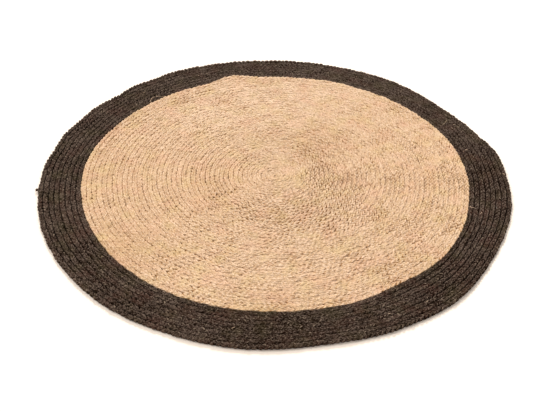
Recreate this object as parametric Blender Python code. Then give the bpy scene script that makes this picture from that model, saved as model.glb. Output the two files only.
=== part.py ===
"""Round rug of plaited jute.

One natural jute plait is coiled edge to edge from the middle outwards. A second plait, dyed dark brown,
takes over where the natural one ends and carries the same spiral on as the border. Both coils are flat
underneath and ribbed on top, one rib for each turn of plait.

Units are metres, +Z is up, and the origin is on the floor under the middle of the rug. Angles are in
degrees, counted anticlockwise from +X as seen from above.
"""
import math

import bmesh
import bpy

# The coil
NATURAL_ROWS = 40           # turns of natural plait from the middle to the colour change
BORDER_ROWS = 8             # turns of dark plait outside it
MIDDLE_PITCH = 0.0146       # width of one row where the coil starts, pulled tight
PITCH_GROWTH = 0.000035     # what each further natural row is wider than the last
BORDER_PITCH = 0.0167       # width of one dark row
PLAIT_HEIGHT = 0.0115       # a plait's crest above the floor
GROOVE_HEIGHT = 0.0070      # the seam between two rows above the floor
RIM_HEIGHT = 0.0060         # where the outermost row is widest
RIM_UNDERCUT = 0.0020       # how far its foot lies inside that
SEAM_GAP = 0.0003           # room between the natural and the dark coil

# Where the two plaits end
COLOUR_CHANGE_ANGLE = 118.0  # the natural plait's tail, and the dark plait's start beside it
NATURAL_TAIL = 12.0          # degrees over which the natural plait narrows to nothing
BORDER_TAIL = 11.25          # the same at the dark plait's outer end
FADE_ROW = 30                # inside this row the coil is evenly round

# Steps round each turn. Rows near the middle are short and need fewer.
FULL_STEPS = 96
INNER_STEPS = ((8, 16), (24, 32), (76, 64))  # (up to this half row, steps)
BORDER_END_STEP = 70         # the full step, counted from the colour change, where the dark plait ends

# Unevenness of the sewn coil: places that swell out (+) or draw in (-).
# Columns: angle of the middle, half its width in degrees, metres outwards.
COLOUR_CHANGE_SWELLS = (
    (105, 9, 0.017),
    (88, 22, -0.012),
    (60, 7, -0.003),
    (20, 16, 0.0025),
    (348, 12, -0.003),
    (322, 10, 0.004),
    (303, 11, -0.006),
    (245, 38, 0.0055),
    (172, 22, 0.004),
)
RIM_SWELLS = (
    (35, 17, -0.012),
    (60, 14, 0.005),
    (88, 20, 0.0055),
    (104, 10, 0.006),
    (120, 15, 0.014),
    (135, 7, 0.011),
    (151, 8, 0.005),
    (164, 7, 0.006),
    (178, 6, 0.003),
    (234, 16, 0.004),
    (281, 20, -0.011),
    (300, 10, -0.004),
    (332, 24, -0.013),
    (357, 16, -0.005),
)

# Finish: base colour (linear), roughness, metallic
NATURAL_JUTE = ((0.76, 0.50, 0.29, 1.0), 0.92, 0.0)
DARK_JUTE = ((0.065, 0.045, 0.032, 1.0), 0.90, 0.0)


def swell(swells, angle):
    """How far the named places push a row outwards at this angle."""
    total = 0.0
    for middle, half_width, outwards in swells:
        apart = (angle - middle + 180.0) % 360.0 - 180.0
        if abs(apart) < half_width:
            total += outwards * math.cos(0.5 * math.pi * apart / half_width) ** 2
    return total


def ease(amount):
    """0 to 1 with soft ends."""
    amount = min(max(amount, 0.0), 1.0)
    return amount * amount * (3.0 - 2.0 * amount)


def row_radius(rows, angle):
    """Radius at a count of rows from the middle, with the coil's unevenness."""
    change = NATURAL_ROWS + 0.5
    inner = min(rows, change)
    radius = MIDDLE_PITCH * inner + 0.5 * PITCH_GROWTH * inner * inner
    at_change = swell(COLOUR_CHANGE_SWELLS, angle)
    if rows <= change:
        return radius + at_change * ease((rows - FADE_ROW) / (change - FADE_ROW))
    share = (rows - change) / BORDER_ROWS
    at_rim = swell(RIM_SWELLS, angle)
    return radius + BORDER_PITCH * (rows - change) + at_change + (at_rim - at_change) * share


def on_coil(rows, turn, height, outwards=0.0):
    """A point at a count of rows from the middle; turn is 0 to 1 round from the colour change."""
    angle = COLOUR_CHANGE_ANGLE + 360.0 * turn
    radius = row_radius(rows, angle) + outwards
    return (radius * math.cos(math.radians(angle)), radius * math.sin(math.radians(angle)), height)


def tail_width(turn, end_turn, length):
    """Share of its width that a plait still has near its tail."""
    return ease((end_turn - turn) * 360.0 / length)


def natural_edge_rows(turn):
    """Rows from the middle to the natural plait's outer edge on its last turn."""
    return NATURAL_ROWS - 1 + turn + tail_width(turn, 1.0, NATURAL_TAIL)


def bridge(faces, inner, outer):
    """Fill between two lines of (turn, vertex), the outer one further from the middle."""
    i = k = 0
    while i < len(inner) - 1 or k < len(outer) - 1:
        next_inner = inner[i + 1][0] if i < len(inner) - 1 else math.inf
        next_outer = outer[k + 1][0] if k < len(outer) - 1 else math.inf
        if next_outer <= next_inner:
            corner = outer[k + 1][1]
            face = (inner[i][1], outer[k][1], corner)
            k += 1
        else:
            corner = inner[i + 1][1]
            face = (inner[i][1], outer[k][1], corner)
            i += 1
        if len(set(face)) == 3:
            faces.append(face)


def join_loops(faces, upper, lower):
    """A wall of quads from one closed loop down to another, facing away from the middle."""
    for i in range(len(upper)):
        k = (i + 1) % len(upper)
        faces.append((upper[i], lower[i], lower[k], upper[k]))


def natural_coil():
    """Vertices and faces of the natural plait: a spiral of crests and seams round the middle."""
    points, faces, lines = [], [], []
    last = 2 * NATURAL_ROWS
    for half_row in range(last + 1):
        steps = next((n for limit, n in INNER_STEPS if half_row < limit), FULL_STEPS)
        height = PLAIT_HEIGHT if half_row % 2 else GROOVE_HEIGHT
        line = []
        for step in range(steps):
            turn = step / steps
            rows = half_row / 2 + turn
            if half_row > last - 2:
                full = 0.5 * (half_row - (last - 2))
                rows = NATURAL_ROWS - 1 + turn + full * tail_width(turn, 1.0, NATURAL_TAIL)
            line.append((turn, len(points)))
            points.append(on_coil(rows, turn, height))
        lines.append(line)
    starts = [line[0][1] for line in lines]
    for half_row, line in enumerate(lines):
        line.append((1.0, starts[min(half_row + 2, last)]))
    for inner, outer in zip(lines, lines[1:]):
        bridge(faces, inner, outer)

    # The first turn closes on the middle
    first = [vertex for _, vertex in lines[0]]
    for a, b in zip(first[1:-1], first[2:-1]):
        faces.append((first[0], a, b))
    faces.append((first[0], first[-2], starts[1]))
    faces.append((starts[1], first[-2], starts[2]))

    # Side and flat underside
    edge = [vertex for _, vertex in lines[last][:-1]]
    foot = [len(points) + i for i in range(len(edge))]
    points.extend((points[v][0], points[v][1], 0.0) for v in edge)
    join_loops(faces, edge, foot)
    under_middle = len(points)
    points.append((0.0, 0.0, 0.0))
    for a, b in zip(foot, foot[1:] + foot[:1]):
        faces.append((under_middle, b, a))
    return points, faces


def border_coil():
    """Vertices and faces of the dark plait, which carries the spiral on to the rim."""
    points, faces, lines = [], [], []
    last = 2 * BORDER_ROWS
    end_turn = BORDER_END_STEP / FULL_STEPS
    for half_row in range(last + 1):
        on_last_row = half_row > last - 2
        line = []
        for step in range(BORDER_END_STEP if on_last_row else FULL_STEPS):
            turn = step / FULL_STEPS
            height = PLAIT_HEIGHT if half_row % 2 else GROOVE_HEIGHT
            if half_row == last or (half_row == last - 2 and step >= BORDER_END_STEP):
                height = RIM_HEIGHT
            rows = NATURAL_ROWS + turn + half_row / 2
            outwards = 0.0
            if half_row == 0:
                rows = natural_edge_rows(turn)
                outwards = SEAM_GAP
            if on_last_row:
                full = 0.5 * (half_row - (last - 2))
                base = NATURAL_ROWS + turn + BORDER_ROWS - 1
                rows = base + full * tail_width(turn, end_turn, BORDER_TAIL)
            line.append((turn, len(points)))
            points.append(on_coil(rows, turn, height, outwards))
        lines.append(line)
    starts = [line[0][1] for line in lines]
    edge = [vertex for _, vertex in lines[0]]
    rim = [vertex for _, vertex in lines[last]]
    rim += [vertex for _, vertex in lines[last - 2][BORDER_END_STEP:]]

    # Each line runs on into the one a whole row further out, and the last row ends on its neighbour
    tail_end = lines[last - 2][BORDER_END_STEP]
    for half_row in range(1, last - 1):
        lines[half_row].append((1.0, starts[half_row + 2]))
    lines[last - 1].append(tail_end)
    lines[last].append(tail_end)
    neighbour = lines[last - 2][:BORDER_END_STEP + 1]
    for inner, outer in zip(lines[1:last - 1], lines[2:last - 1]):
        bridge(faces, inner, outer)
    bridge(faces, neighbour, lines[last - 1])
    bridge(faces, lines[last - 1], lines[last])

    # The dark plait's start widens beside the natural tail
    bridge(faces, lines[0], lines[1][:-1])
    beside = lines[1][-2][1]
    faces.append((edge[-1], beside, starts[0]))
    for a, b in zip(starts[:3], starts[1:4]):
        faces.append((a, beside, b))

    # Inner side, rim and flat underside
    edge_foot = [len(points) + i for i in range(len(edge))]
    points.extend((points[v][0], points[v][1], 0.0) for v in edge)
    rim_foot = [len(points) + i for i in range(len(rim))]
    for vertex in rim:
        x, y, _ = points[vertex]
        shrink = 1.0 - RIM_UNDERCUT / math.hypot(x, y)
        points.append((x * shrink, y * shrink, 0.0))
    join_loops(faces, edge_foot, edge)
    join_loops(faces, rim, rim_foot)
    join_loops(faces, rim_foot, edge_foot)
    return points, faces


def add_piece(name, shape, finish):
    """Make one closed solid with its own material."""
    points, faces = shape
    mesh = bpy.data.meshes.new(name)
    mesh.from_pydata(points, [], faces)
    work = bmesh.new()
    work.from_mesh(mesh)
    bmesh.ops.triangulate(work, faces=work.faces)
    work.to_mesh(mesh)
    work.free()
    mesh.shade_smooth()
    mesh.set_sharp_from_angle(angle=math.radians(65.0))

    colour, roughness, metallic = finish
    material = bpy.data.materials.new(name + "_jute")
    material.use_nodes = True
    shader = material.node_tree.nodes["Principled BSDF"]
    shader.inputs["Base Color"].default_value = colour
    shader.inputs["Roughness"].default_value = roughness
    shader.inputs["Metallic"].default_value = metallic
    mesh.materials.append(material)

    piece = bpy.data.objects.new(name, mesh)
    bpy.context.scene.collection.objects.link(piece)
    return piece


for old in list(bpy.data.objects):
    bpy.data.objects.remove(old, do_unlink=True)

rug = bpy.data.objects.new("rug", None)
bpy.context.scene.collection.objects.link(rug)
for piece in (
    add_piece("natural_coil", natural_coil(), NATURAL_JUTE),
    add_piece("border_coil", border_coil(), DARK_JUTE),
):
    piece.parent = rug
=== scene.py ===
import math
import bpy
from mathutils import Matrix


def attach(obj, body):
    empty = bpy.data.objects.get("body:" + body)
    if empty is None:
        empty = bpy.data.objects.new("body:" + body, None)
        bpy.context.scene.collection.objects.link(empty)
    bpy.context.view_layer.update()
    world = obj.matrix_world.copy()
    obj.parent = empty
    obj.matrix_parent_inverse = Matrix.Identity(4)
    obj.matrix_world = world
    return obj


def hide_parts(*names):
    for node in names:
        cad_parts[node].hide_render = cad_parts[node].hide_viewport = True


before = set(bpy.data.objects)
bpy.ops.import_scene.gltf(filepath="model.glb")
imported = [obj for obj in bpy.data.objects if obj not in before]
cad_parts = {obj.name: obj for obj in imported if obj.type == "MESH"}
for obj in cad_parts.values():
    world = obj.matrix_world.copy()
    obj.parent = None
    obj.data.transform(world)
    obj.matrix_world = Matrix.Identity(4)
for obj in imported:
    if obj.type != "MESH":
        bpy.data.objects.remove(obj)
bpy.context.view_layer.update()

from types import SimpleNamespace

import bpy
import numpy as np
from mathutils import Matrix

# ---------------------------------------------------------------- camera
# A standing viewer's eye, 1.58 m above the floor and 2.13 m in front of the rug's middle, looking down
# at 38.7 degrees with the head tilted one degree.
EYE = (0.002, -2.132, 1.576)
LOOKING_DOWN = math.radians(38.66)
HEAD_TILT = math.radians(1.03)
LENS_MM = 53.5
SENSOR_MM = 36.0

camera_data = bpy.data.cameras.new("camera")
camera_data.sensor_width = SENSOR_MM
camera_data.lens = LENS_MM
camera = bpy.data.objects.new("camera", camera_data)
bpy.context.scene.collection.objects.link(camera)
aim = Matrix.Rotation(math.pi / 2 - LOOKING_DOWN, 4, "X") @ Matrix.Rotation(HEAD_TILT, 4, "Z")
camera.matrix_world = Matrix.Translation(EYE) @ aim
bpy.context.scene.camera = camera

# ---------------------------------------------------------------- floor and light
# A seamless pale studio floor in even light, with a soft lamp at the rug's left, another behind it and a
# wide window further back, so that the rug throws only a thin warm shadow towards the front and right.
FLOOR_SIZE = 30.0
FLOOR_DROP = 0.0004         # the floor lies this far below the rug's underside
FLOOR_COLOUR = (0.90, 0.78, 0.67, 1.0)
# Columns: name, heading it shines from, height in degrees, strength, softness in degrees
LAMPS = (
    ("side_lamp", 165.0, 50.0, 1.35, 24.0),
    ("back_lamp", 96.0, 35.0, 2.4, 10.0),
)
WINDOW_WIDTH = 3.0
WINDOW_HEIGHT = 1.0
WINDOW_PLACE = (-0.3, 2.6, 1.1)
WINDOW_TILT = math.radians(-64.0)
WINDOW_POWER = 14.0
ROOM_LIGHT = 0.80

half_floor = FLOOR_SIZE / 2
floor_mesh = bpy.data.meshes.new("floor")
floor_mesh.from_pydata(
    [(-half_floor, -half_floor, 0), (half_floor, -half_floor, 0),
     (half_floor, half_floor, 0), (-half_floor, half_floor, 0)],
    [], [(0, 1, 2, 3)])
floor = bpy.data.objects.new("floor", floor_mesh)
floor.location.z = -FLOOR_DROP
bpy.context.scene.collection.objects.link(floor)
floor_paint = bpy.data.materials.new("studio_floor")
floor_paint.use_nodes = True
floor_shader = floor_paint.node_tree.nodes["Principled BSDF"]
floor_shader.inputs["Base Color"].default_value = FLOOR_COLOUR
floor_shader.inputs["Roughness"].default_value = 0.95
floor_shader.inputs["Specular IOR Level"].default_value = 0.0
floor_mesh.materials.append(floor_paint)

for lamp_name, heading, height_angle, strength, softness in LAMPS:
    lamp_data = bpy.data.lights.new(lamp_name, "SUN")
    lamp_data.energy = strength
    lamp_data.angle = math.radians(softness)
    lamp = bpy.data.objects.new(lamp_name, lamp_data)
    bpy.context.scene.collection.objects.link(lamp)
    lamp.matrix_world = (Matrix.Rotation(math.radians(heading - 90.0), 4, "Z")
                         @ Matrix.Rotation(math.radians(height_angle - 90.0), 4, "X"))

window_data = bpy.data.lights.new("back_window", "AREA")
window_data.shape = "RECTANGLE"
window_data.size = WINDOW_WIDTH
window_data.size_y = WINDOW_HEIGHT
window_data.energy = WINDOW_POWER
window = bpy.data.objects.new("back_window", window_data)
bpy.context.scene.collection.objects.link(window)
window.matrix_world = Matrix.Translation(WINDOW_PLACE) @ Matrix.Rotation(WINDOW_TILT, 4, "X")

room = bpy.data.worlds.new("room")
room.use_nodes = True
room.node_tree.nodes["Background"].inputs["Color"].default_value = (1.0, 1.0, 1.0, 1.0)
room.node_tree.nodes["Background"].inputs["Strength"].default_value = ROOM_LIGHT
bpy.context.scene.world = room
bpy.context.scene.view_settings.view_transform = "Standard"

# ---------------------------------------------------------------- natural plait
# One plait of three undyed jute strands, wound flat in a spiral from the middle outwards and sewn row to
# row with yarn hidden in the seams. It is soft and hairy, with paler and browner stretches where the
# bundles of fibre differ.
NATURAL_ROWS = 40
NATURAL_STITCH = 0.0165
NATURAL_TAIL = 12.0         # degrees over which the plait narrows to nothing
NATURAL_START = -0.74       # in turns: it starts curled round itself in the middle
NATURAL_LENGTHS = 4         # pieces that the plait is cut into
MIDDLE_PITCH = 0.0146       # width of a row in the middle
PITCH_GROWTH = 0.000035     # what each further row is wider than the last
PLAIT_HEIGHT = 0.0112
FADE_ROW = 30               # inside this row the coil is evenly round
BORDER_ROWS = 8
BORDER_PITCH = 0.0167       # width of a row outside the colour change
COLOUR_CHANGE_ANGLE = 118.0  # degrees, where the dark plait takes over; turns are counted from there

# Unevenness of the sewn coil: angle of the middle, half its width in degrees, metres outwards
COLOUR_CHANGE_SWELLS = (
    (105, 9, 0.017),
    (88, 22, -0.012),
    (60, 7, -0.003),
    (20, 16, 0.0025),
    (348, 12, -0.003),
    (322, 10, 0.004),
    (303, 11, -0.006),
    (245, 38, 0.0055),
    (172, 22, 0.004),
)
RIM_SWELLS = (
    (35, 17, -0.012),
    (60, 14, 0.005),
    (88, 20, 0.0055),
    (104, 10, 0.006),
    (120, 15, 0.014),
    (135, 7, 0.011),
    (151, 8, 0.005),
    (164, 7, 0.006),
    (178, 6, 0.003),
    (234, 16, 0.004),
    (281, 20, -0.011),
    (300, 10, -0.004),
    (332, 24, -0.013),
    (357, 16, -0.005),
)

# Rows guided by hand waver. Columns: waves for each row outwards, waves for each turn, start
ROW_WAVES = ((2.6, 5, 0.0), (2.1, -7, 1.9), (3.0, 9, 4.0), (1.7, -4, 2.2))
ROW_WAVER = 0.00035
WAVER_FROM = 4.0            # rows over which the waver sets in
# Neighbouring rows also wander together, in waves of these lengths
WANDER_WAVES = (0.028, 0.032, 0.036, 0.041, 0.047, 0.054, 0.062, 0.072)
WANDER = 0.0005
MIDDLE_SHIFT = (0.002, -0.016)  # the first turns lie a little nearer the front than the rim's middle
MIDDLE_SHIFT_REACH = 0.45

# A plait's section, from its inner side over the top to the outer side and back underneath.
# Columns: place across the plait (-0.5 to 0.5), height as a share of the plait's, how deep the notches
# between strands cut in there, how far a notch draws the side in.
SEAM_HEIGHT = 0.45
SHOULDER_HEIGHT = 0.72
PLAIT_SECTION = (
    (-0.50, SEAM_HEIGHT, 0.45, 0.22),
    (-0.475, SHOULDER_HEIGHT, 0.45, 0.19),
    (-0.39, 0.91, 0.42, 0.10),
    (-0.26, 1.00, 0.38, 0.00),
    (-0.12, 0.95, 0.36, 0.00),
    (0.00, 0.78, 0.00, 0.00),
    (0.12, 0.95, 0.36, 0.00),
    (0.26, 1.00, 0.38, 0.00),
    (0.39, 0.91, 0.42, 0.10),
    (0.475, SHOULDER_HEIGHT, 0.45, 0.19),
    (0.50, SEAM_HEIGHT, 0.45, 0.22),
    (0.50, 0.16, 0.00, 0.00),
    (0.17, 0.00, 0.00, 0.00),
    (-0.17, 0.00, 0.00, 0.00),
    (-0.50, 0.16, 0.00, 0.00),
)
ACROSS, HEIGHT, NOTCH_CUT, NOTCH_DRAW = np.array(PLAIT_SECTION).T
ON_FACE = HEIGHT >= SEAM_HEIGHT
IN_MIDDLE = ACROSS == 0.0

STEPS_PER_STITCH = 4        # rings of points to a stitch
STEPS_PER_TURN = 720        # points to a turn when the coil's length is measured
MEASURED_AT = 0.75          # how far across the plait its length is measured
STRAND_SLANT = 0.55         # how far a strand runs on along the plait from side to middle, in stitches
RUN_UP = 4.0                # stitches from each end of the plait over which the slant sets in
FULL_HEIGHT_FROM = 0.4      # a tail narrower than this share of a row is thinner too
THINNEST_TAIL = 0.04
MIDDLE_WEAVE = 0.09         # how far the strands cross over the plait's middle, as a share of its width
CROSSING_HEIGHT = 0.74      # of the plait's middle where two strands cross, as a share of the plait's
OPEN_HEIGHT = 0.83          # and between two crossings
LOBE_SWAY = 0.02            # how far the face moves aside, as a share of the plait's width
# How much stitches and lobes differ from the usual: spread, least, most
STITCH_LENGTHS = (0.13, 0.6, 1.4)
LOBE_HEIGHTS = (0.07, 0.82, 1.16)
LOBE_WIDTHS = (0.04, 0.92, 1.09)

# Notches between the strands
NOTCH_DEPTHS = (0.45, 1.4)  # the shallowest and the deepest
TIGHT_NOTCH = 0.45          # share of that depth in tight sewing
SLACK_NOTCH = 0.75          # what slack sewing adds
GAPING_NOTCH = 0.5          # and what the slackest adds again
NOTCH_CURVE = ((0.2, 0.5), (2.4, 2.0))  # places across the plait, how late the notch opens there
LOWEST_NOTCH = 0.2          # share of its height that a strand keeps at least
DEEPEST_DRAW = 0.45         # the most that a notch draws the side in
SLACK_THINNING = 0.04       # how much narrower the slackest plait is
CREST_FLUFF = 0.2           # how far brushed-up fibre fills the notches on the crests
CREST_EDGE = 0.35           # how far across the plait the crests reach

# Seams between the rows, in shares of the plait's height
HIGHEST_SEAM = 0.92
TIGHT_FILL = 0.12           # how much tight sewing raises a seam
FLUFF_FILL = 0.4            # how much brushed-up fibre raises it
FLUFF_LOST = 0.5            # share of that which slack sewing loses
SHOULDER_FOLLOW = 0.5       # how far a shoulder goes up and down with the seam
SHOULDER_LIFT = 0.44        # and how high it lies above that

# The last turn's free side, where no next row holds the strands
FREE_SIDE_FROM = 0.3        # how far across the plait it begins
OPEN_NOTCH = 3.0            # how much deeper its notches are
OPEN_FOOT = 0.8             # how much further they draw its foot in
FOOT_TUCK = 0.6             # how far the foot is tucked under
OPEN_PALING = 1.5           # how much paler its lower outer side is painted, as lit by light off the floor

# Tone: strands differ from one another and change slowly along the plait, and single lobes stand out
USUAL_TONE = 0.5
STRAND_DIFFERENCE = 0.4
STRAND_TONES = ((3.1, 0.0), (4.3, 2.0), (5.7, 4.0))  # metres of a wave, start
LOBE_DIFFERENCE = 0.5
ODDEST_LOBE = 0.6
TONE_RANGE = (-0.6, 1.8)

# Painted shade in the seams and notches, where strands cross and on the underside, from 0 on an open crest
SHADE_RANGE = (0.0, 1.35)
CROSSING_SHADES = (0.4, 1.1)  # in the plait's middle where strands cross
BETWEEN_CROSSINGS = 0.5     # share of that between two crossings
LEAST_SHADE = 0.65          # of a notch
SHADE_SPREAD = 1.05         # what the darkest notch has more
NOTCH_SHADES = ((0.12, 0.26, 0.45), (0.9, 0.6, 1.1))  # places across the plait, share of a notch's shade
LINE_LEFT = 0.2             # share of the painted row-line shade that is kept where it is faintest
LINE_TOP = 1.08             # height at which the painted row-line shade would end
LINE_STEEPNESS = 1.7        # how fast it darkens below that
LINE_NOTCH = 0.6            # how much a notch darkens it
TIGHT_SHADE = 0.73          # share of the shade in tight sewing
SLACK_SHADE = 0.67          # what slack sewing adds
FOOT_SHADE = 0.4            # of the free side's foot
FOOT_NOTCH_SHADE = 0.6      # what its notches add
UNDERSIDE_SHADE = 0.8
SHARP_ANGLE = math.radians(80.0)  # edges sharper than this aren't smoothed over

# Places sewn slacker, with deeper notches and more painted shade, or tighter: x, y, reach, how slack
USUAL_SLACK = 0.4
SLACK_WAVES = (0.05, 0.07, 0.09, 0.12, 0.16, 0.21)
SLACK_WANDER = 0.16
SLACK_PLACES = (
    (0.00, -0.02, 0.09, -0.8),
    (0.12, 0.12, 0.06, 0.7),
    (0.15, -0.03, 0.09, 0.65),
    (0.19, -0.19, 0.09, 0.6),
    (0.08, -0.17, 0.05, 0.6),
    (0.03, -0.22, 0.08, 0.9),
    (-0.13, -0.30, 0.04, 0.4),
    (-0.42, -0.34, 0.17, -0.5),
    (0.00, -0.48, 0.22, -0.3),
    (-0.34, 0.43, 0.03, 0.35),
    (0.68, 0.00, 0.12, 0.4),
    (-0.45, -0.05, 0.20, -0.6),
    (-0.18, 0.03, 0.10, -0.3),
    (-0.36, 0.24, 0.18, -0.4),
    (0.10, 0.48, 0.20, -0.3),
    (0.00, 0.74, 0.16, 0.6),
)
# Places where either plait is painted paler or darker than usual: x, y, reach, how much paler. The paler far
# side and middle front, and the darker near rim and left and right sides, are painted light and shade that
# even out how the light falls; the other places are paler and darker patches.
TONE_AND_LIGHT_PLACES = (
    (0.00, 0.52, 0.30, 0.32),
    (0.00, -0.52, 0.25, 0.06),
    (-0.51, -0.04, 0.20, -0.20),
    (-0.44, -0.39, 0.15, -0.44),
    (-0.24, 0.36, 0.16, 0.28),
    (0.42, 0.00, 0.20, -0.08),
    (0.00, -0.72, 0.16, -0.55),
    (-0.68, 0.00, 0.16, -0.18),
    (0.03, -0.22, 0.09, 0.36),
    (0.22, -0.20, 0.08, 0.50),
    (0.09, -0.15, 0.06, 0.50),
    (0.16, -0.04, 0.06, 0.30),
    (-0.21, -0.07, 0.13, -0.28),
    (0.15, 0.22, 0.12, -0.24),
    (0.00, 0.74, 0.13, -0.06),
    (0.51, -0.57, 0.16, -0.50),
    (-0.53, -0.54, 0.14, -0.24),
    (-0.44, 0.55, 0.15, -0.22),
)


def ease(amount):
    """0 to 1 with soft ends."""
    amount = np.clip(amount, 0.0, 1.0)
    return amount * amount * (3.0 - 2.0 * amount)


def swell(swells, angle):
    """How far the named places push a row outwards at this angle."""
    total = np.zeros_like(angle)
    for middle, half_width, outwards in swells:
        apart = (angle - middle + 180.0) % 360.0 - 180.0
        near = np.abs(apart) < half_width
        total += near * outwards * np.cos(0.5 * np.pi * apart / half_width) ** 2
    return total


def row_radius(rows, angle):
    """Radius at a count of rows from the middle, with the coil's unevenness."""
    change = NATURAL_ROWS + 0.5
    inner = np.minimum(rows, change)
    radius = MIDDLE_PITCH * inner + 0.5 * PITCH_GROWTH * inner * np.abs(inner)
    at_change = swell(COLOUR_CHANGE_SWELLS, angle)
    at_rim = swell(RIM_SWELLS, angle)
    beyond = np.maximum(rows - change, 0.0)
    share = beyond / BORDER_ROWS
    inside = at_change * ease((rows - FADE_ROW) / (change - FADE_ROW))
    return radius + BORDER_PITCH * beyond + inside * (1.0 - share) + at_rim * share


def drift(x, y, lengths, seed):
    """Smooth wandering about zero over the floor, made of waves of these lengths."""
    rng = np.random.default_rng(seed)
    total = np.zeros_like(x)
    for length in lengths:
        heading, start = rng.uniform(0.0, 2.0 * np.pi, 2)
        along = x * np.cos(heading) + y * np.sin(heading)
        total += np.sin(2.0 * np.pi * along / length + start)
    return total / np.sqrt(len(lengths) / 2.0)


def near_places(amount, x, y, places):
    """The amount, raised or lowered near each of the named places."""
    for place_x, place_y, reach, change in places:
        apart = (x - place_x) ** 2 + (y - place_y) ** 2
        amount = amount + change * np.exp(-apart / (reach * reach))
    return amount


def slackness(x, y):
    """0 where the rows are sewn tight to 1 where they gape."""
    amount = USUAL_SLACK + SLACK_WANDER * drift(x, y, SLACK_WAVES, seed=8)
    return np.clip(near_places(amount, x, y, SLACK_PLACES), 0.0, 1.0)


LINE_GAIN = 1.5             # how soon the painted row-line shade shows up away from the front and back
LINE_FADE_REACH = 0.05         # of the middle, where the painted row-line shade fades out
NEAREST_REACH = 0.02        # nearer the middle than this, the way to the side counts for less


def painted_row_line_share(x, y, brushed):
    """How strongly the line between two rows is painted in shade, 0 to 1. It is painted where the light
    rakes across the rows at the left and right, fainter on the right by the given share, not at the front
    and back, and it fades out in the middle."""
    reach = np.hypot(x, y - MIDDLE_SHIFT[1])
    sideways = x / np.maximum(reach, NEAREST_REACH)
    amount = np.minimum(LINE_GAIN * sideways ** 2, 1.0) * (1.0 - brushed * (0.5 + 0.5 * sideways))
    return amount * (1.0 - np.exp(-(reach / LINE_FADE_REACH) ** 2))


def laid(rows, angle):
    """Where a point of the coil really lies: rows waver, and neighbours share part of that."""
    turn = np.radians(angle)
    uneven = np.zeros_like(turn)
    for for_each_row, for_each_turn, start in ROW_WAVES:
        uneven = uneven + np.sin(for_each_row * rows + for_each_turn * turn + start)
    radius = row_radius(rows, angle) + ROW_WAVER * uneven * ease(rows / WAVER_FROM)
    x = radius * np.cos(turn)
    y = radius * np.sin(turn)
    shift = 1.0 - ease(np.abs(radius) / MIDDLE_SHIFT_REACH)
    x_laid = x + WANDER * drift(x, y, WANDER_WAVES, seed=3) + MIDDLE_SHIFT[0] * shift
    y_laid = y + WANDER * drift(x, y, WANDER_WAVES, seed=4) + MIDDLE_SHIFT[1] * shift
    return x_laid, y_laid


def about_one(rng, count, spread, least, most):
    """Shares that vary about 1, one for each stitch or lobe."""
    return np.clip(rng.normal(1.0, spread, count), least, most)


def wound(edges, first_turn, last_turn, stitch, rng):
    """The rings of a plait along the coil, with stitches of uneven length: metres from its start, turns, and
    where the plait's middle lies."""
    turns = np.linspace(first_turn, last_turn, int((last_turn - first_turn) * STEPS_PER_TURN))
    inner, outer = edges(turns)
    measured = (1.0 - MEASURED_AT) * inner + MEASURED_AT * outer
    radius = row_radius(measured, COLOUR_CHANGE_ANGLE + 360.0 * turns)
    stretch = 2 * np.pi * np.diff(turns) * (radius[1:] + radius[:-1]) / 2
    metres = np.concatenate([[0.0], np.cumsum(stretch)])

    stitches = int(metres[-1] / stitch)
    marks = np.cumsum(about_one(rng, stitches, *STITCH_LENGTHS))
    marks = np.concatenate([[0.0], marks]) * metres[-1] / marks[-1]
    ring = np.arange(stitches * STEPS_PER_STITCH + 1)
    place = np.interp(ring / STEPS_PER_STITCH, np.arange(stitches + 1), marks)
    turn = np.interp(place, metres, turns)
    inner, outer = edges(turn)
    x, y = laid((inner + outer) / 2, COLOUR_CHANGE_ANGLE + 360.0 * turn)
    return SimpleNamespace(turns=turns, metres=metres, stitch=stitch, stitches=stitches,
                           ring=ring, place=place, turn=turn, x=x, y=y)


def number_lobes(plait):
    """Number the strands' lobes and the notches between them, and say how far each point is from a crest.
    Lobes on the inner side crest where a stitch starts, those on the outer side half a stitch later."""
    side = (ACROSS >= 0).astype(int)
    phase = plait.ring[:, None] / STEPS_PER_STITCH + 0.5 * side
    plait.from_crest = np.abs((phase + 0.5) % 1.0 - 0.5) * 2.0
    plait.lobe = np.round(phase).astype(int) * 2 + side
    plait.notch = np.floor(phase).astype(int) * 2 + side
    plait.lobes = plait.lobe.max() + 3


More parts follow.
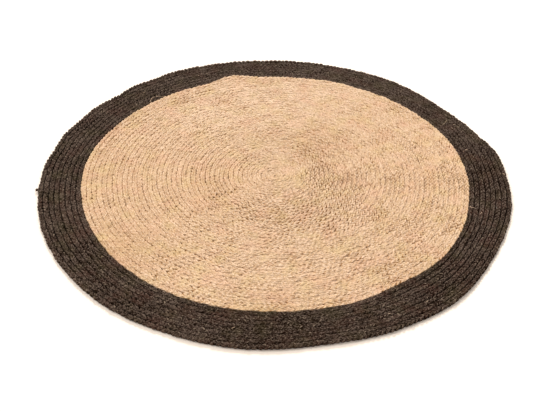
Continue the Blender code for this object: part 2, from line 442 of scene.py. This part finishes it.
def work_strands(plait, work, rng):
    """Place across the plait and height of every point, as shares of the plait's own, and how deep in a
    notch it lies."""
    slack = plait.slack
    by_slack = TIGHT_NOTCH + SLACK_NOTCH * slack + GAPING_NOTCH * slack ** 2
    depth = rng.uniform(*NOTCH_DEPTHS, plait.lobes)[plait.notch] * by_slack
    curve = np.interp(np.abs(ACROSS), *NOTCH_CURVE)
    dent = (1.0 - np.sqrt(np.clip(1.0 - plait.from_crest ** curve, 0.0, 1.0))) * depth
    plump = about_one(rng, plait.lobes, *LOBE_HEIGHTS)[plait.lobe]
    broad = about_one(rng, plait.lobes, *LOBE_WIDTHS)[plait.lobe]
    sways = rng.normal(0.0, LOBE_SWAY, plait.stitches + 1)
    sway = np.interp(plait.ring / STEPS_PER_STITCH, np.arange(plait.stitches + 1), sways)

    # Across: the middle weaves from side to side, notches draw the sides in, and the free side parts further
    dent = dent * np.where(plait.free_side, 1.0 + OPEN_NOTCH * work.open_lobes, 1.0)
    draw = NOTCH_DRAW + work.open_lobes * plait.free_side + OPEN_FOOT * work.open_lobes * plait.free_foot
    weave = MIDDLE_WEAVE * np.cos(2 * np.pi * plait.ring / STEPS_PER_STITCH)[:, None]
    across = np.where(IN_MIDDLE, weave, np.where(ON_FACE, ACROSS * broad, ACROSS))
    across = across * (1.0 - FOOT_TUCK * work.open_lobes * plait.free_foot)
    across = across * (1.0 - np.minimum(draw * dent, DEEPEST_DRAW)) + sway[:, None] * ON_FACE
    across = across * (1.0 - SLACK_THINNING * slack ** 2 * ON_FACE)

    # Height: tight sewing and brushed-up fibre fill the seam, notches cut into the lobes
    seam = work.valley + TIGHT_FILL * (1.0 - slack)
    seam = seam + FLUFF_FILL * (1.0 - plait.open_line) * (1.0 - FLUFF_LOST * slack)
    seam = np.minimum(seam, HIGHEST_SEAM)
    height = np.where(HEIGHT == SEAM_HEIGHT, seam, HEIGHT)
    height = np.where(HEIGHT == SHOULDER_HEIGHT, SHOULDER_FOLLOW * seam + SHOULDER_LIFT, height)
    height = np.where(IN_MIDDLE, np.where(plait.crossing, CROSSING_HEIGHT, OPEN_HEIGHT), height)
    height = height * np.maximum(1.0 - NOTCH_CUT * plait.fluffed * dent, LOWEST_NOTCH)
    height = np.where(ON_FACE & ~IN_MIDDLE, height * plump, height)
    return across, height, dent


def lay_rings(plait, edges, across, height):
    """Points of the rings laid along the coil. Strands slant, so points lag behind towards the sides."""
    from_end = np.minimum(plait.ring, plait.ring[-1] - plait.ring)
    run_up = np.minimum(from_end / (RUN_UP * STEPS_PER_STITCH), 1.0)[:, None]
    lag = 2 * np.abs(ACROSS) * STRAND_SLANT
    lag = np.where(ON_FACE, lag, 2 * STRAND_SLANT - lag)
    spot = np.clip(plait.place[:, None] - lag * plait.stitch * run_up, 0.0, plait.metres[-1])
    turn = np.interp(spot, plait.metres, plait.turns)
    inner, outer = edges(turn)
    x, y = laid(inner + (across + 0.5) * (outer - inner), COLOUR_CHANGE_ANGLE + 360.0 * turn)
    fullness = np.sqrt(np.clip((outer - inner) / FULL_HEIGHT_FROM, THINNEST_TAIL, 1.0))
    return np.stack([x, y, PLAIT_HEIGHT * height * fullness], axis=2)


def shade_strands(plait, dent, work, rng):
    """Tone of every point, by strand, lobe and place, with painted light in places, and the painted shade of
    the seam or notch that it lies in.
    """
    tones = USUAL_TONE + STRAND_DIFFERENCE * work.unevenness * np.stack([
        np.sin(plait.place * 2 * np.pi / length + start) for length, start in STRAND_TONES], axis=1)
    tone = tones[plait.ring[:, None], plait.lobe % len(STRAND_TONES)]
    lobe_tones = LOBE_DIFFERENCE * work.unevenness * rng.standard_t(4, plait.lobes)
    tone = tone + np.clip(lobe_tones, -ODDEST_LOBE, ODDEST_LOBE)[plait.lobe]
    # Painted light and shade that even out how the light falls, and paler and darker patches
    tone = near_places(tone, plait.x[:, None], plait.y[:, None], TONE_AND_LIGHT_PLACES)
    # Painted light: the lower outer side of the last turn is paler, as lit by light off the floor
    tone = tone + OPEN_PALING * work.open_lobes * (plait.free_side & (HEIGHT <= SHOULDER_HEIGHT))
    # Painted shade where the strands cross in the plait's middle
    crossings = rng.uniform(*CROSSING_SHADES, len(plait.ring))[:, None]
    crossings = crossings * np.where(plait.crossing, 1.0, BETWEEN_CROSSINGS)
    # Spots at the sides painted lighter and darker, as highlights and shade where the light rakes across the
    # rows
    tone = tone + work.speckle * plait.open_line * rng.normal(0.0, 1.0, tone.shape)

    # Painted shade in the notches, in the line between the rows and on the underside
    shadow = dent * (LEAST_SHADE + SHADE_SPREAD * rng.uniform(0.0, 1.0, plait.lobes) ** 2)[plait.notch]
    notches = shadow * np.interp(np.abs(ACROSS), *NOTCH_SHADES) * plait.fluffed
    line = work.row_line * (LINE_LEFT + (1.0 - LINE_LEFT) * plait.open_line)
    between_rows = np.clip((LINE_TOP - HEIGHT) * LINE_STEEPNESS, 0.0, 1.0) * (line + LINE_NOTCH * shadow)
    no_line = IN_MIDDLE | (plait.free_side & (work.open_lobes > 0.0))
    seam = np.maximum(np.where(IN_MIDDLE, crossings, notches), np.where(no_line, 0.0, between_rows))
    seam = seam * (TIGHT_SHADE + SLACK_SHADE * plait.slack)
    below = np.where(plait.free_foot, FOOT_SHADE + FOOT_NOTCH_SHADE * dent, UNDERSIDE_SHADE)
    return tone, np.where(ON_FACE, seam, below)


def plait_grid(edges, first_turn, last_turn, stitch, work, seed):
    """Rings of points round one plait, with their tones, painted seam shade and strand coordinates, and the
    metres from its start to each ring. edges(turn) gives its inner and outer edge in rows. In work, valley
    is how high the seam to the next row lies, as a share of the plait's height, and row_line how dark its
    painted shade is all along. The fluff share is how far loose fibre covers the notches on the crests, and
    how much fainter the painted row lines are on the right, open_lobes how much further the strands part on
    the last turn's free side, unevenness how much they differ in tone, and speckle how much spots of them
    are painted lighter and darker at the sides."""
    rng = np.random.default_rng(seed)
    plait = wound(edges, first_turn, last_turn, stitch, rng)
    number_lobes(plait)
    plait.slack = slackness(plait.x, plait.y)[:, None]
    plait.open_line = painted_row_line_share(plait.x, plait.y, work.brushed)[:, None]
    plait.fluffed = 1.0 - CREST_FLUFF * work.brushed * (np.abs(ACROSS) < CREST_EDGE)
    plait.crossing = (plait.ring % 2 == 0)[:, None]
    plait.free_side = (plait.turn > last_turn - 1.0)[:, None] & (ACROSS > FREE_SIDE_FROM)
    plait.free_foot = plait.free_side & ~ON_FACE
    across, height, dent = work_strands(plait, work, rng)
    points = lay_rings(plait, edges, across, height)
    tone, seam = shade_strands(plait, dent, work, rng)
    lie = np.broadcast_arrays(plait.place[:, None], ACROSS * MIDDLE_PITCH, points[:, :, 2])
    steps = np.hypot(np.diff(plait.x), np.diff(plait.y))
    length = np.concatenate([[0.0], np.cumsum(steps)])
    return {"points": points, "tone": tone, "seam": seam, "lie": np.stack(lie, axis=2), "length": length}


def add_piece(name, points, faces, layers, material, node):
    """A mesh piece with the strand coordinates, tone and painted seam shade that its material reads."""
    mesh = bpy.data.meshes.new(name)
    mesh.from_pydata(points.tolist(), [], faces)
    for key, span in (("tone", TONE_RANGE), ("seam", SHADE_RANGE)):
        layer = mesh.attributes.new(key, "FLOAT", "POINT")
        layer.data.foreach_set("value", np.clip(layers[key], *span).astype(np.float32).ravel())
    layer = mesh.attributes.new("lie", "FLOAT_VECTOR", "POINT")
    layer.data.foreach_set("vector", layers["lie"].astype(np.float32).ravel())
    mesh.shade_smooth()
    mesh.materials.append(material)
    piece = bpy.data.objects.new(name, mesh)
    bpy.context.scene.collection.objects.link(piece)
    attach(piece, "root")
    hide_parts(node)
    return piece


def plait_length(name, grid, first, last, material, node):
    """One closed length of plait from ring to ring of the grid."""
    rings = last - first + 1
    columns = grid["points"].shape[1]
    points = grid["points"][first:last + 1].reshape(-1, 3)
    start = np.arange(rings - 1)[:, None] * columns
    a = start + np.arange(columns)
    b = start + (np.arange(columns) + 1) % columns
    faces = np.stack([a, a + columns, b + columns, b], axis=2).reshape(-1, 4).tolist()
    faces.append(list(range(columns)))
    faces.append([(rings - 1) * columns + column for column in reversed(range(columns))])
    layers = {key: grid[key][first:last + 1] for key in ("tone", "seam", "lie")}
    piece = add_piece(name, points, faces, layers, material, node)
    piece.data.set_sharp_from_angle(angle=SHARP_ANGLE)


def plait_lengths(name, grid, count, material, node):
    """A whole plait, cut into a few closed lengths."""
    rings = len(grid["points"]) - 1
    for number in range(count):
        first = number * rings // count
        last = (number + 1) * rings // count
        plait_length(f"{name}_{number + 1}", grid, first, last, material, node)


def node_at(tree, kind, x, y, **values):
    """A shader node at a place on the node board."""
    node = tree.nodes.new(kind)
    node.location = (x, y)
    for key, value in values.items():
        setattr(node, key, value)
    return node


def jute_group():
    """Colour with painted shade in the seams and notches, roughness and fine relief of plaited jute, read
    from each plait's own strand coordinates.
    """
    group = bpy.data.node_groups.new("jute_fibres", "ShaderNodeTree")
    for name in ("Strand", "Pale Strand", "Seam", "Straw", "Blush", "Fleck", "Painted Notch Shade"):
        group.interface.new_socket(name, in_out="INPUT", socket_type="NodeSocketColor")
    for name in ("Painted Shade Depth", "Straw Amount", "Blush Amount", "Fleck Amount", "Tuft Contrast"):
        group.interface.new_socket(name, in_out="INPUT", socket_type="NodeSocketFloat")
    group.interface.new_socket("Color", in_out="OUTPUT", socket_type="NodeSocketColor")
    group.interface.new_socket("Roughness", in_out="OUTPUT", socket_type="NodeSocketFloat")
    group.interface.new_socket("Height", in_out="OUTPUT", socket_type="NodeSocketFloat")
    given = node_at(group, "NodeGroupInput", -1400, 0)
    result = node_at(group, "NodeGroupOutput", 1200, 0)
    link = group.links.new

    lie = node_at(group, "ShaderNodeAttribute", -1400, -400, attribute_name="lie")
    tone = node_at(group, "ShaderNodeAttribute", -1400, -600, attribute_name="tone")
    seam = node_at(group, "ShaderNodeAttribute", -1400, -800, attribute_name="seam")
    place = node_at(group, "ShaderNodeTexCoord", -1400, -1000)

    def noise(y, vector, scale, detail, shift=(0.0, 0.0, 0.0)):
        stretch = node_at(group, "ShaderNodeMapping", -1150, y)
        stretch.inputs["Location"].default_value = shift
        stretch.inputs["Scale"].default_value = scale
        link(vector, stretch.inputs["Vector"])
        grain = node_at(group, "ShaderNodeTexNoise", -950, y)
        grain.inputs["Scale"].default_value = 1.0
        grain.inputs["Detail"].default_value = detail
        link(stretch.outputs["Vector"], grain.inputs["Vector"])
        return grain.outputs["Fac"]

    def ranged(x, y, value, low, high, to_low=0.0, to_high=1.0):
        span = node_at(group, "ShaderNodeMapRange", x, y)
        span.inputs["From Min"].default_value = low
        span.inputs["From Max"].default_value = high
        span.inputs["To Min"].default_value = to_low
        span.inputs["To Max"].default_value = to_high
        link(value, span.inputs["Value"])
        return span.outputs["Result"]

    def reckoned(x, y, operation, first, second):
        step = node_at(group, "ShaderNodeMath", x, y, operation=operation)
        for socket, value in zip(step.inputs, (first, second)):
            if isinstance(value, float):
                socket.default_value = value
            else:
                link(value, socket)
        return step.outputs["Value"]

    def mixed(x, share, under, over):
        under_socket, over_socket, colour_output = 6, 7, 2
        mix = node_at(group, "ShaderNodeMix", x, 200, data_type="RGBA")
        link(share, mix.inputs["Factor"])
        link(under, mix.inputs[under_socket])
        link(over, mix.inputs[over_socket])
        return mix.outputs[colour_output]

    # Single fibres, fine along the plait and long across it, as the strands turn over its sides. Yarns, four
    # to a stitch, loosely twisted
    fibres = noise(-400, lie.outputs["Vector"], (1100.0, 90.0, 90.0), 2.0)
    twist = node_at(group, "ShaderNodeMapping", -1150, -200)
    twist.inputs["Rotation"].default_value = (0.0, 0.0, 0.35)
    link(lie.outputs["Vector"], twist.inputs["Vector"])
    yarns = node_at(group, "ShaderNodeTexWave", -950, -200)
    yarns.inputs["Scale"].default_value = 76.0
    yarns.inputs["Distortion"].default_value = 2.2
    yarns.inputs["Detail"].default_value = 2.0
    yarns.inputs["Detail Scale"].default_value = 1.6
    link(twist.outputs["Vector"], yarns.inputs["Vector"])

    # Straw-coloured and reddish drift over the rug, and bits of bark caught in the strands
    straw = ranged(-750, -1000, noise(-1000, place.outputs["Object"], (17.0, 17.0, 17.0), 3.0), 0.48, 0.72)
    straw = reckoned(-550, -1000, "MULTIPLY", straw, given.outputs["Straw Amount"])
    blush = noise(-1300, place.outputs["Object"], (15.0, 15.0, 15.0), 3.0, (7.0, 3.0, 1.0))
    blush = ranged(-750, -1300, blush, 0.48, 0.72)
    blush = reckoned(-550, -1300, "MULTIPLY", blush, given.outputs["Blush Amount"])
    flecks = ranged(-750, -1600, noise(-1600, lie.outputs["Vector"], (330.0, 120.0, 120.0), 1.0), 0.63, 0.72)
    flecks = reckoned(-550, -1600, "MULTIPLY", flecks, given.outputs["Fleck Amount"])

    # Fluffed-up tufts and fibre ends a few millimetres apart, painted as highlights where they catch the
    # light and as shade between them
    tufts = noise(-1900, lie.outputs["Vector"], (330.0, 330.0, 330.0), 2.0, (3.0, 1.0, 5.0))
    tufts = ranged(-750, -1900, tufts, 0.32, 0.68, -1.0, 1.0)
    tufts = reckoned(-550, -1900, "MULTIPLY", tufts, given.outputs["Tuft Contrast"])

    # Colour: strand to pale strand by tone, fibre, yarn and tuft, then drifts, flecks and painted seam shade
    # over it
    light = reckoned(-550, -500, "ADD", tone.outputs["Fac"], fibres)
    light = reckoned(-350, -500, "ADD", light, reckoned(-550, -300, "MULTIPLY", yarns.outputs["Fac"], 0.4))
    light = reckoned(-250, -700, "ADD", light, tufts)
    light = ranged(-150, -500, light, 0.7, 1.7)
    colour = mixed(-100, light, given.outputs["Strand"], given.outputs["Pale Strand"])
    colour = mixed(100, straw, colour, given.outputs["Straw"])
    colour = mixed(200, blush, colour, given.outputs["Blush"])
    colour = mixed(300, flecks, colour, given.outputs["Fleck"])
    # Painted shade: the seam attribute darkens the colour in the seams, and its deepest values in the
    # notches
    shade = reckoned(100, -200, "POWER", seam.outputs["Fac"], 1.9)
    shade = reckoned(300, -200, "MULTIPLY", shade, given.outputs["Painted Shade Depth"])
    colour = mixed(500, ranged(400, -200, shade, 0.0, 1.0), colour, given.outputs["Seam"])
    notch = ranged(600, -200, seam.outputs["Fac"], 0.75, 1.1, 0.0, 0.95)
    colour = mixed(700, notch, colour, given.outputs["Painted Notch Shade"])
    link(colour, result.inputs["Color"])

    # Loose ends of fibre shine a little more than the gaps between them
    link(ranged(500, -400, fibres, 0.0, 1.0, 0.98, 0.78), result.inputs["Roughness"])
    relief = reckoned(300, -600, "ADD", fibres, reckoned(100, -600, "MULTIPLY", yarns.outputs["Fac"], 0.7))
    link(relief, result.inputs["Height"])
    return group


def jute_material(name, group, shades, gloss, sheen=0.0, sheen_tint=(1.0, 1.0, 1.0, 1.0)):
    """A jute finish: shades gives the value of each of the group's inputs."""
    material = bpy.data.materials.new(name)
    material.use_nodes = True
    tree = material.node_tree
    shader = tree.nodes["Principled BSDF"]
    jute = node_at(tree, "ShaderNodeGroup", -500, 0)
    jute.node_tree = group
    for socket, value in shades.items():
        jute.inputs[socket].default_value = value
    bump = node_at(tree, "ShaderNodeBump", -250, -250)
    bump.inputs["Strength"].default_value = 0.6
    bump.inputs["Distance"].default_value = FIBRE_RELIEF
    tree.links.new(jute.outputs["Height"], bump.inputs["Height"])
    tree.links.new(jute.outputs["Color"], shader.inputs["Base Color"])
    tree.links.new(jute.outputs["Roughness"], shader.inputs["Roughness"])
    tree.links.new(bump.outputs["Normal"], shader.inputs["Normal"])
    shader.inputs["Specular IOR Level"].default_value = gloss
    shader.inputs["Sheen Weight"].default_value = sheen
    shader.inputs["Sheen Roughness"].default_value = 0.5
    shader.inputs["Sheen Tint"].default_value = sheen_tint
    return material


FIBRE_RELIEF = 0.0006
NATURAL_SHADES = {
    "Strand": (0.47, 0.289, 0.156, 1.0),
    "Pale Strand": (0.737, 0.528, 0.362, 1.0),
    "Seam": (0.375, 0.157, 0.010, 1.0),
    "Straw": (0.60, 0.430, 0.205, 1.0),
    "Blush": (0.64, 0.370, 0.240, 1.0),
    "Fleck": (0.18, 0.085, 0.030, 1.0),
    "Painted Notch Shade": (0.13, 0.043, 0.004, 1.0),
    "Painted Shade Depth": 0.92,
    "Straw Amount": 0.50,
    "Blush Amount": 0.44,
    "Fleck Amount": 0.85,
    "Tuft Contrast": 0.95,
}
NATURAL_WORK = SimpleNamespace(
    valley=0.66, row_line=0.7, brushed=0.9, open_lobes=0.0, unevenness=0.12, speckle=0.17)


def natural_edges(turn):
    """Inner and outer edge of the natural plait, in rows; it starts curled round itself."""
    width = ease((NATURAL_ROWS - turn) * 360.0 / NATURAL_TAIL)
    inner = np.maximum(turn, -0.5 - turn)
    return inner, inner + (1.0 + turn - inner) * width


jute_fibres = jute_group()
natural_jute = jute_material("natural_jute", jute_fibres, NATURAL_SHADES, gloss=0.05, sheen=0.05,
                             sheen_tint=(1.0, 0.94, 0.86, 1.0))
natural_grid = plait_grid(natural_edges, NATURAL_START, NATURAL_ROWS, NATURAL_STITCH, NATURAL_WORK, seed=11)
plait_lengths("natural_plait", natural_grid, NATURAL_LENGTHS,
              natural_jute, "natural_coil")

# ---------------------------------------------------------------- border plait
# The same plait in jute dyed dark brown. It starts beside the natural plait's tail, carries the spiral on
# for eight rows and is tucked in at the rim. Its seams are painted in deep shade, and the lower outer side
# of its last turn is painted paler, as lit by light off the floor.
BORDER_STITCH = 0.0150
BORDER_START = -NATURAL_TAIL / 360.0
BORDER_END = 7.0 + 70.0 / 96.0
BORDER_TAIL = 11.25         # degrees over which the plait narrows to nothing
BORDER_LENGTHS = 2          # pieces that the plait is cut into
DARK_SHADES = {
    "Strand": (0.0125, 0.0050, 0.0018, 1.0),
    "Pale Strand": (0.114, 0.079, 0.059, 1.0),
    "Seam": (0.0115, 0.0038, 0.0011, 1.0),
    "Straw": (0.052, 0.042, 0.016, 1.0),
    "Blush": (0.078, 0.030, 0.020, 1.0),
    "Fleck": (0.26, 0.19, 0.13, 1.0),
    "Painted Notch Shade": (0.008, 0.003, 0.001, 1.0),
    "Painted Shade Depth": 1.0,
    "Straw Amount": 0.4,
    "Blush Amount": 0.36,
    "Fleck Amount": 0.8,
    "Tuft Contrast": 1.9,
}
BORDER_WORK = SimpleNamespace(
    valley=0.28, row_line=1.1, brushed=0.0, open_lobes=0.30, unevenness=0.28, speckle=0.95)


def border_edges(turn):
    """Inner and outer edge of the dark plait, in rows; it widens beside the natural tail."""
    beside_tail = ease(-turn * 360.0 / NATURAL_TAIL)
    width = ease((BORDER_END - turn) * 360.0 / BORDER_TAIL)
    inner = NATURAL_ROWS + turn + beside_tail
    return inner, inner + (1.0 - beside_tail) * width


dark_jute = jute_material("dark_jute", jute_fibres, DARK_SHADES, gloss=0.03)
border_grid = plait_grid(border_edges, BORDER_START, BORDER_END, BORDER_STITCH, BORDER_WORK, seed=23)
plait_lengths("border_plait", border_grid, BORDER_LENGTHS,
              dark_jute, "border_coil")

# ---------------------------------------------------------------- loose fibres
# Jute is hairy: fibre ends 5 to 16 mm long stand off the strands all over the rug and fringe its rim.
# They are drawn as fine tapered tubes rooted in the plaits.
FIBRE_RADIUS = 0.00009
FIBRE_LENGTHS = (0.005, 0.016)
FIBRE_RISES = (0.0006, 0.0032)
FIBRE_SINK = 0.0004         # how deep a fibre is rooted, and how near the floor it may lie
FIBRE_DROOP = 0.85          # at 0.5 a fibre would end at its highest, at 1 as low as its root
FIBRE_TAPER = 0.5           # share of its thickness that it loses on the way
FIBRE_CURL = 0.35
FIBRE_SPREAD = 0.7          # of the headings, in radians
RIM_SPREAD = 0.6            # and of the headings of those that stand out of the rim
FIBRE_THICKNESSES = (0.7, 1.3)
FIBRE_TONES = (0.6, 1.2)
GRAIN_PLACES = (0.0, 5.0)   # where in the fibre pattern each one takes its grain
CREST_COLUMNS = np.flatnonzero(HEIGHT > 0.9)
MIDDLE_COLUMN = int(np.flatnonzero(IN_MIDDLE)[0])
RIM_COLUMNS = (8, 9)        # outer crest and shoulder of the section
RIM_START = 0.868           # share of the border plait's rings before its outermost turn


def fibre_tubes(roots, headings, lengths, rises, curls, radii, sides=3, steps=3):
    """Tapered tubes, one for each root, rising off the strand and drooping to a point."""
    along = np.linspace(0.0, 1.0, steps + 1)[None, :]
    flat = np.stack([np.cos(headings), np.sin(headings), 0 * headings], axis=1)
    across = np.stack([-np.sin(headings), np.cos(headings), 0 * headings], axis=1)
    up = np.array([0.0, 0.0, 1.0])
    path = (roots[:, None, :]
            + flat[:, None, :] * (lengths[:, None] * along)[:, :, None]
            + across[:, None, :] * (curls[:, None] * lengths[:, None] * along ** 2)[:, :, None]
            + up * (rises[:, None] * np.sin(FIBRE_DROOP * np.pi * along) - FIBRE_SINK)[:, :, None])
    path[:, :, 2] = np.maximum(path[:, :, 2], FIBRE_SINK)
    turns = np.arange(sides) * 2 * np.pi / sides
    ring = (across[:, None, None, :] * np.cos(turns)[None, None, :, None]
            + up * np.sin(turns)[None, None, :, None])
    thin = radii[:, None] * (1.0 - FIBRE_TAPER * along[:, :-1])
    tubes = path[:, :-1, None, :] + ring * thin[:, :, None, None]
    count = len(roots)
    each = sides * steps + 1
    points = np.concatenate([tubes.reshape(count, -1, 3), path[:, -1:, :]], axis=1).reshape(-1, 3)
    pattern = [[0, corner + 1, corner] for corner in range(1, sides - 1)]
    for step in range(steps - 1):
        for corner in range(sides):
            a, b = sides * step + corner, sides * step + (corner + 1) % sides
            pattern.append([a, b, b + sides])
            pattern.append([a, b + sides, a + sides])
    for corner in range(sides):
        a, b = sides * (steps - 1) + corner, sides * (steps - 1) + (corner + 1) % sides
        pattern.append([a, b, each - 1])
    faces = (np.array(pattern)[None, :, :] + each * np.arange(count)[:, None, None]).reshape(-1, 3)
    return points, faces.tolist(), each


def fibre_piece(name, grid, count, first_ring, columns, outwards, seed, material, node):
    """Loose fibres rooted on these columns of a plait's section from a ring onwards."""
    rng = np.random.default_rng(seed)
    ring = rng.integers(first_ring, len(grid["points"]) - 2, count)
    column = rng.choice(columns, count)
    roots = grid["points"][ring, column]
    inwards = np.where(column < MIDDLE_COLUMN, column + 1, column - 1)
    ahead = grid["points"][ring, inwards] - roots
    headings = np.arctan2(ahead[:, 1], ahead[:, 0]) + rng.normal(0.0, FIBRE_SPREAD, count)
    away = np.arctan2(roots[:, 1], roots[:, 0]) + rng.normal(0.0, RIM_SPREAD, count)
    headings = np.where(outwards, away, headings)
    lengths = rng.uniform(*FIBRE_LENGTHS, count)
    rises = rng.uniform(*FIBRE_RISES, count)
    curls = rng.normal(0.0, FIBRE_CURL, count)
    radii = FIBRE_RADIUS * rng.uniform(*FIBRE_THICKNESSES, count)
    points, faces, each = fibre_tubes(roots, headings, lengths, rises, curls, radii)
    layers = {
        "tone": np.repeat(rng.uniform(*FIBRE_TONES, count), each),
        "seam": np.zeros(len(points)),
        "lie": np.repeat(rng.uniform(*GRAIN_PLACES, (count, 3)), each, axis=0),
    }
    add_piece(name, points, faces, layers, material, node)


fibre_piece("natural_fibres", natural_grid, count=3400, first_ring=8, columns=CREST_COLUMNS, outwards=False,
            seed=31, material=natural_jute, node="natural_coil")
fibre_piece("border_fibres", border_grid, count=2200, first_ring=40, columns=CREST_COLUMNS, outwards=False,
            seed=32, material=dark_jute, node="border_coil")
rim_ring = int((len(border_grid["points"]) - 1) * RIM_START)
fibre_piece("rim_fibres", border_grid, count=500, first_ring=rim_ring, columns=RIM_COLUMNS, outwards=True,
            seed=33, material=dark_jute, node="border_coil")

# ---------------------------------------------------------------- stray threads
# Short ends of undyed jute that have worked loose and caught on the dark border, held by their own hairs.
# They lie flat on the crests of the plait.
# Columns: x, y, direction in degrees, length, thickness
STRAY_THREADS = (
    (-0.457, 0.412, 98, 0.022, 0.0011),
    (-0.458, 0.434, 35, 0.022, 0.0012),
    (-0.441, 0.451, 17, 0.028, 0.0010),
    (-0.490, 0.477, 20, 0.007, 0.0014),
    (-0.301, 0.609, 10, 0.006, 0.0012),
    (-0.144, 0.642, 0, 0.006, 0.0018),
    (0.605, 0.328, 254, 0.048, 0.0008),
    (0.624, 0.297, 20, 0.008, 0.0016),
    (0.639, 0.143, 10, 0.009, 0.0020),
    (0.634, 0.131, 120, 0.006, 0.0010),
    (0.738, 0.012, 330, 0.009, 0.0016),
    (0.601, -0.163, 317, 0.020, 0.0014),
    (0.628, -0.197, 60, 0.010, 0.0012),
    (0.413, -0.577, 30, 0.008, 0.0011),
    (0.306, -0.624, 15, 0.007, 0.0012),
    (-0.104, -0.685, 10, 0.009, 0.0016),
    (-0.487, -0.423, 40, 0.007, 0.0011),
)


def thread_piece(name, threads, height, rise, curl, tone, material):
    """Separate thread ends from a table of x, y, direction, length and thickness."""
    table = np.array(threads)
    roots = np.stack([table[:, 0], table[:, 1], 0 * table[:, 0] + height], axis=1)
    bend = curl * np.where(np.arange(len(table)) % 2, 1.0, -1.0)
    points, faces, _ = fibre_tubes(roots, np.radians(table[:, 2]), table[:, 3], 0 * bend + rise, bend,
                                   table[:, 4] / 2, sides=7, steps=8)
    layers = {
        "tone": np.full(len(points), tone),
        "seam": np.zeros(len(points)),
        "lie": points * np.array([1.0, 1.0, 0.3]),
    }
    add_piece(name, points, faces, layers, material, "border_coil")


thread_piece("stray_threads", STRAY_THREADS, height=0.0126, rise=0.0012, curl=0.3, tone=1.2,
             material=natural_jute)

# ---------------------------------------------------------------- yarn end
# The cut end of the dark yarn that the border is sewn with. It stands out of the rim on the left as a
# small tuft, its plies untwisted: three thick ones and two loose hairs.
# Columns: x, y, direction in degrees, length, thickness
YARN_END = (
    (-0.7400, -0.1110, 192, 0.0090, 0.0080),
    (-0.7400, -0.1135, 200, 0.0085, 0.0060),
    (-0.7400, -0.1085, 176, 0.0085, 0.0060),
    (-0.7405, -0.1140, 212, 0.0100, 0.0008),
    (-0.7405, -0.1080, 168, 0.0100, 0.0008),
)
thread_piece("yarn_end", YARN_END, height=0.0060, rise=0.0016, curl=0.2, tone=0.45,
             material=dark_jute)
